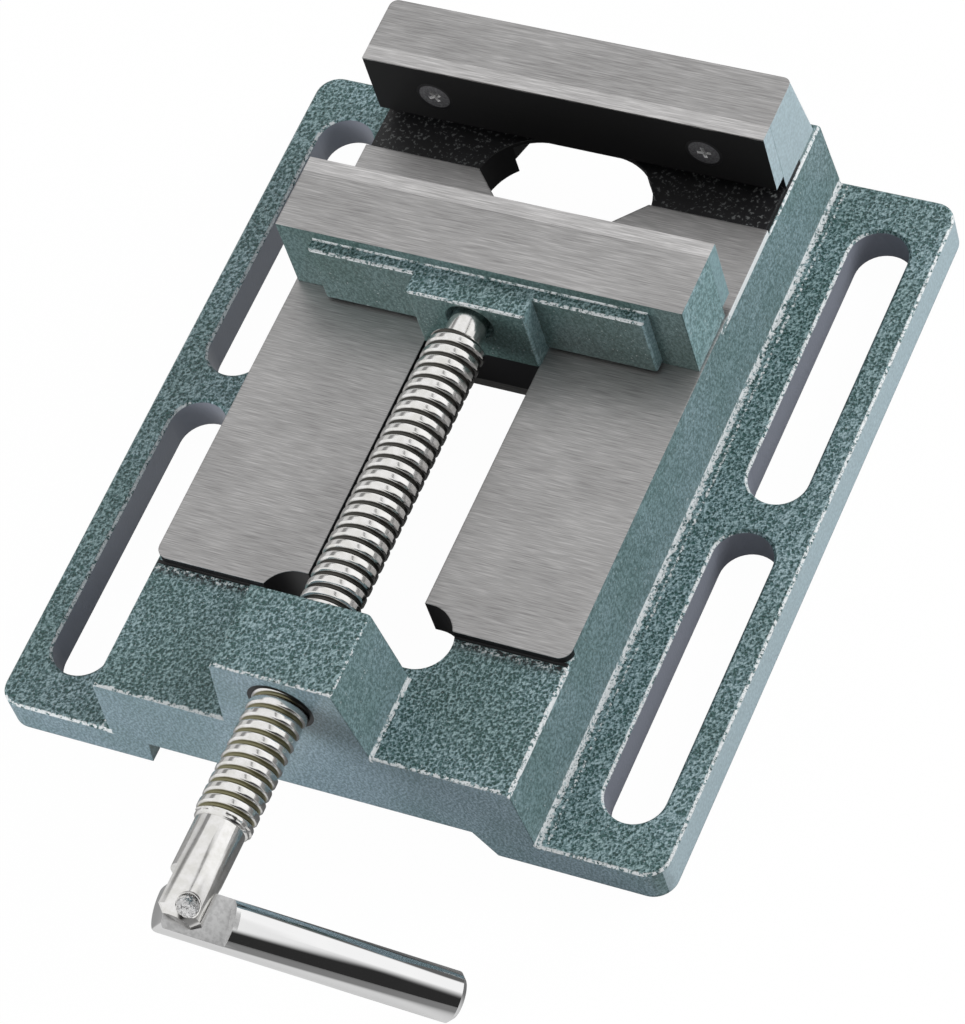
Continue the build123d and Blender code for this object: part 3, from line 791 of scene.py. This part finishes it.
def smooth(piece, angle=32):
    pick(piece)
    bpy.ops.object.shade_smooth_by_angle(angle=math.radians(angle))
    return piece


def joined(piece, *others):
    pick(piece, *others)
    bpy.ops.object.join()
    return piece


def fit(piece, finish, slotName, body, *replaced):
    piece.data.materials.clear()
    piece.data.materials.append(finishes[finish])
    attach(piece, body)
    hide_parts(*replaced)
    print("made", piece.name)


# Lead screw: its thread, cut on the plain rod of the frame

def threadRadius(share):  # broad, nearly flat crest, with a narrow rounded root
    fromRoot = min(1, abs((share + 0.5) % 1 - 0.5) * 2)
    rising = min(1, max(0, (fromRoot - thread["rootShare"]) / (thread["crestShare"] - thread["rootShare"])))
    rising = rising * rising * (3 - 2 * rising)
    return thread["outer"] - thread["depth"] * (1 - rising) - thread["barrel"] * (1 - fromRoot) ** 2


def makeThread(frontY, rearY):
    pitch, count = thread["pitch"], thread["pointsPerTurn"]
    turns = math.ceil((rearY - frontY) / pitch) + 2
    deselectAll()
    bpy.ops.mesh.primitive_plane_add(size=mm)
    piece = bpy.context.object
    edit(piece, "VERT")
    bpy.ops.mesh.merge(type="CENTER")
    bpy.ops.transform.translate(value=(0, 0, threadRadius(0)))
    for number in range(count):
        rise = threadRadius((number + 1) / count) - threadRadius(number / count)
        bpy.ops.mesh.extrude_region_move(TRANSFORM_OT_translate={"value": (0, pitch / count, rise)})
    done()
    applied(piece, "SCREW", axis="Y", angle=math.tau, screw_offset=pitch, iterations=turns,
            steps=thread["steps"], render_steps=thread["steps"], use_merge_vertices=True,
            merge_threshold=0.001 * mm, use_normal_calculate=True)
    edit(piece, "VERT")
    bpy.ops.transform.rotate(value=thread["phase"], orient_axis="Y", center_override=(0, 0, 0))
    bpy.ops.transform.translate(value=(0, frontY - pitch, screwHeight))
    done()
    cut(piece, (0, frontY, screwHeight), (0, 1, 0))
    cut(piece, (0, rearY, screwHeight), (0, -1, 0))
    turnDown(piece, frontY, rearY)
    edit(piece)
    bpy.ops.mesh.normals_make_consistent(inside=False)
    return done()


def turnDown(piece, frontY, rearY):  # chamfers both ends of the thread and leaves a plain collar at its front
    touching = 0.001 * mm
    for point in piece.data.vertices:
        inset = min(point.co.y - frontY, rearY - point.co.y)
        low, high = 0, thread["outer"] - max(0, thread["chamfer"] - inset)
        if touching < point.co.y - frontY < thread["collar"]["length"]:
            low = high = min(thread["collar"]["radius"], high)
        radius = math.hypot(point.co.x, point.co.z - screwHeight)
        if radius > touching and not low <= radius <= high:
            wanted = min(max(radius, low), high)
            point.co.x *= wanted / radius
            point.co.z = screwHeight + (point.co.z - screwHeight) * wanted / radius


def makeLeadScrew():
    frontY = hinge["place"].y + thread["frontFromHinge"]
    rearY = jawFrontY - thread["rearFromJaw"]
    turned = makeThread(frontY, rearY)
    shank = cut(copyOf("lead_screw", "shank"), (0, frontY + 0.5 * hair, 0), (0, -1, 0))
    neck = cut(copyOf("lead_screw", "neck"), (0, rearY - 0.5 * hair, 0), (0, 1, 0))
    softened(shank, thread["edge"])
    softened(neck, thread["edge"])
    smooth(turned, 60)
    piece = joined(turned, shank, neck)
    piece.name = piece.data.name = "leadScrewThreaded"
    fit(piece, "threadChrome", "chrome", "screw", "lead_screw")


# Handle and its hinge rivet

handle = {
    "edge": 0.3 * mm,
    "rivetHead": 2.7 * mm,
    "rivetRise": 1.5 * mm,
    "seats": (5.10 * mm, -5.15 * mm),
}


def makeRivetHead(seat):  # a dome whose widest circle is on its seat
    middle = hinge["place"] + hinge["axis"] * seat
    deselectAll()
    bpy.ops.mesh.primitive_uv_sphere_add(segments=64, ring_count=32, radius=handle["rivetHead"])
    dome = bpy.context.object
    edit(dome)
    bpy.ops.transform.resize(value=(1, 1, handle["rivetRise"] / handle["rivetHead"]))
    done()
    dome.rotation_euler = hinge["axis"].to_track_quat("Z", "Y").to_euler()
    dome.location = middle
    bpy.ops.object.transform_apply(location=True, rotation=True, scale=True)
    return smooth(cut(dome, middle, hinge["axis"] * seat), 60)


def makeHandle():
    bar = softened(copyOf("handle_bar", "handleBar"), handle["edge"])
    fit(bar, "chrome", "chrome", "handle", "handle_bar")
    upper, lower = handle["seats"]
    shaft = cut(copyOf("handle_rivet", "hingeRivet"), hinge["place"] + hinge["axis"] * upper, -hinge["axis"])
    shaft = smooth(cut(shaft, hinge["place"] + hinge["axis"] * lower, hinge["axis"]))
    rivet = joined(shaft, makeRivetHead(upper), makeRivetHead(lower))
    fit(rivet, "rivetChrome", "chrome", "screw", "handle_rivet")


# Jaw plates and their cross recessed screws

recess = {
    "span": 4.9 * mm,
    "width": 1.05 * mm,
    "depth": 2.2 * mm,
    "spanTaper": 0.45,
    "widthTaper": 0.7,
    "turns": {
        "fixed_jaw_screw_left": 28,
        "fixed_jaw_screw_right": 8,
        "moving_jaw_screw_left": 50,
        "moving_jaw_screw_right": 71,
    },
}


def makeRecessCutter(face, facing, turn):  # two crossed arms, narrower where they are deep
    arms = []
    for quarter in (0, 90):
        deselectAll()
        bpy.ops.mesh.primitive_cube_add(size=1)
        arm = bpy.context.object
        edit(arm)
        bpy.ops.transform.resize(value=(recess["span"], 2 * recess["depth"], recess["width"]))
        bpy.ops.mesh.select_all(action="DESELECT")
        done()
        for polygon in arm.data.polygons:
            polygon.select = polygon.center.y * facing < -0.5 * recess["depth"]
        bpy.ops.object.mode_set(mode="EDIT")
        bpy.ops.transform.resize(value=(recess["spanTaper"], 1, recess["widthTaper"]))
        bpy.ops.mesh.select_all(action="SELECT")
        turned = math.radians(quarter + turn)
        bpy.ops.transform.rotate(value=turned, orient_axis="Y", center_override=(0, 0, 0))
        bpy.ops.transform.translate(value=face)
        arms.append(done())
    return arms


def makeJawScrew(node, body, facing):
    low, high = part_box(node)
    face = ((low.x + high.x) / 2, high.y if facing > 0 else low.y, screwHeight)
    piece = copyOf(node, node.replace("_", "") + "Head")
    for arm in makeRecessCutter(face, facing, recess["turns"][node]):
        applied(piece, "BOOLEAN", operation="DIFFERENCE", object=arm, solver="EXACT")
        bpy.data.objects.remove(arm)
    smooth(piece)
    fit(piece, "jawScrewSteel", "black_steel", body, node)


def makeJawPlates():
    for side, body, facing in (("fixed", "base", -1), ("moving", "sliding_jaw", 1)):
        plate = smooth(copyOf(side + "_jaw_plate", side + "Plate"))
        fit(plate, side + "Plate", "bare_steel", body, side + "_jaw_plate")
        for hand in ("left", "right"):
            makeJawScrew(f"{side}_jaw_screw_{hand}", body, facing)


makeLeadScrew()
makeHandle()
makeJawPlates()


# Camera, floor, lights

view = {
    "place": (435.41 * mm, -514.08 * mm, 910.37 * mm),
    "right": (0.89689851, 0.3881415, -0.2119416),
    "down": (0.2187894, -0.80593816, -0.55008625),
    "lens": 172.27,
    "sensor": 36,
}
floor = {
    "size": 6.0,
    "drop": 0.02 * mm,
    "colour": (0.90, 0.90, 0.90),
    "rough": 0.9,
    "whiteShare": 0.98,
    "mirrorShare": 0.8,
    "mirrorGlow": 0.62,
}
world = {"ambient": 0.55, "sky": 0.87}
lamps = {
    "sideLight": {"place": (0.62, 0.52, 0.42), "size": (0.55, 0.45), "power": 7.0},
    "frontLight": {"place": (-0.42, -0.58, 0.20), "size": (0.5, 0.3), "power": 3.6},
}

# Dark screens and a bright window round the studio, which only the metals reflect. Start and end are their
# soft edges by the turn from the front towards the right, foot and top those by height, all in degrees.
screens = {
    "front": {"start": (4, 16), "end": (80, 112), "top": (30, 44), "dark": 0.97},
    "back": {"start": (146, 154), "end": (-170, -160), "top": (11, 16), "dark": 0.88},
    "leftSide": {"start": (-160, -150), "end": (-100, -90), "top": (22, 28), "dark": 0.25},
    "rod": {"start": (98, 104), "end": (150, 156), "foot": (53.5, 54.5), "top": (58, 59), "dark": 0.85},
    "panel": {"start": (-154, -142), "end": (-112, -102), "foot": (20, 24), "top": (36, 42), "dark": 0.72},
    "window": {"start": (100, 110), "end": (-160, -150), "top": (40, 50)},
}

# What the metals reflect of the floor is dark in front of those screens, beyond a distance from the hinge
floorDark = {
    "front": {"from": (46.4 * mm, 69.6 * mm)},
    "back": {"from": (17.4 * mm, 29.0 * mm), "start": (100, 110)},
    "left": {"from": (34.8 * mm, 52.2 * mm), "start": (-150, -138), "end": (-100, -88), "dark": 0.7},
    "dark": 0.95,
}


def addCamera():
    right, down = Vector(view["right"]), Vector(view["down"])
    bpy.ops.object.camera_add(location=view["place"])
    camera = bpy.context.object
    turn = camera.matrix_world.to_3x3()
    turn.col[0], turn.col[1], turn.col[2] = right, -down, right.cross(-down)
    camera.rotation_euler = turn.to_euler()
    camera.data.lens = view["lens"]
    camera.data.sensor_width = view["sensor"]
    camera.data.clip_start = 0.01
    bpy.context.scene.camera = camera


def addLamp(name):
    lamp = lamps[name]
    bpy.ops.object.light_add(type="AREA", location=lamp["place"])
    light = bpy.context.object
    light.name = name
    light.rotation_euler = (-Vector(lamp["place"])).to_track_quat("-Z", "Y").to_euler()
    light.data.shape = "RECTANGLE"
    light.data.size, light.data.size_y = lamp["size"]
    light.data.energy = lamp["power"]
    light.visible_glossy = False  # the metals reflect the world alone, so no side of them clips to white


def rayKinds(finish):  # 1 for the camera's rays, and 1 for those that a glossy surface sends out
    rays = finish.tree.nodes.new("ShaderNodeLightPath")
    return Wire(finish, rays.outputs["Is Camera Ray"]), Wire(finish, rays.outputs["Is Glossy Ray"])


def frontAndBack(turn):  # how far each of the two screens covers a turn, the back one past 180 degrees
    front, back = screens["front"], screens["back"]
    behind = turn.rise(*back["start"]).atLeast(turn.fall(*back["end"]))
    return turn.within(front["start"], front["end"]), behind


def addFloor():
    bpy.ops.mesh.primitive_plane_add(size=floor["size"], location=(0, 0, baseLow.z - floor["drop"]))
    plane = bpy.context.object
    plane.name = "floor"
    finish = Finish("paleFloor")
    finish.finish(colour=floor["colour"], rough=floor["rough"])
    camera, glossy = rayKinds(finish)
    (x, y, z), spot = finish.place()
    x, y = x - hinge["place"].x, y - hinge["place"].y
    distance = finish.radius(x, y)
    turn = finish.maths("ARCTAN2", x, 0 - y) * math.degrees(1)
    front, back = frontAndBack(turn)
    back = back.atLeast(turn.rise(*floorDark["back"]["start"]))
    left = turn.within(floorDark["left"]["start"], floorDark["left"]["end"]) * floorDark["left"]["dark"]
    dark = (front * distance.rise(*floorDark["front"]["from"])).atLeast(
        back * distance.rise(*floorDark["back"]["from"]), left * distance.rise(*floorDark["left"]["from"])
    )
    strength = camera.atLeast((1 - dark * floorDark["dark"]) * floor["mirrorGlow"])
    glow = finish.node("ShaderNodeEmission", None, {"Color": (1, 1, 1, 1), "Strength": strength})
    seen = (camera * floor["whiteShare"]).atLeast(glossy * floor["mirrorShare"])
    matt = Wire(finish, finish.surface.outputs[0])
    mixed = finish.node("ShaderNodeMixShader", None, {0: seen, 1: matt, 2: glow})
    finish.feed(finish.tree.nodes["Material Output"].inputs["Surface"], mixed)
    plane.data.materials.append(finish.material)


def addWorld():  # white to the camera, a plain light for the paint, and the screens for the metals
    sky = bpy.data.worlds.new("studio")
    bpy.context.scene.world = sky
    sky.use_nodes = True
    finish = Finish("studio", sky.node_tree)
    camera, glossy = rayKinds(finish)
    x, y, z = finish.parts(finish.node("ShaderNodeTexCoord", output="Generated"))
    turn = finish.maths("ARCTAN2", x, 0 - y) * math.degrees(1)
    height = finish.maths("ARCSINE", z) * math.degrees(1)
    front, back = frontAndBack(turn)
    shown = 1 - front * height.fall(*screens["front"]["top"]) * screens["front"]["dark"]
    shown = shown * (1 - back * height.fall(*screens["back"]["top"]) * screens["back"]["dark"])
    for name in ("rod", "panel", "leftSide"):
        screen = screens[name]
        patch = turn.within(screen["start"], screen["end"]) * height.fall(*screen["top"])
        if "foot" in screen:
            patch = patch * height.rise(*screen["foot"])
        shown = shown * (1 - patch * screen["dark"])
    window = screens["window"]
    window = turn.rise(*window["start"]).atLeast(turn.fall(*window["end"])) * height.fall(*window["top"])
    shown = shown * (window * (1 - world["sky"]) + world["sky"])
    background = sky.node_tree.nodes["Background"]
    background.inputs["Color"].default_value = (1, 1, 1, 1)
    plain = (1 - glossy) * world["ambient"] + glossy * shown
    finish.feed(background.inputs["Strength"], camera.atLeast(plain))


addCamera()
addFloor()
addWorld()
for name in lamps:
    addLamp(name)
bpy.context.scene.view_settings.view_transform = "Standard"
print("studio lit")
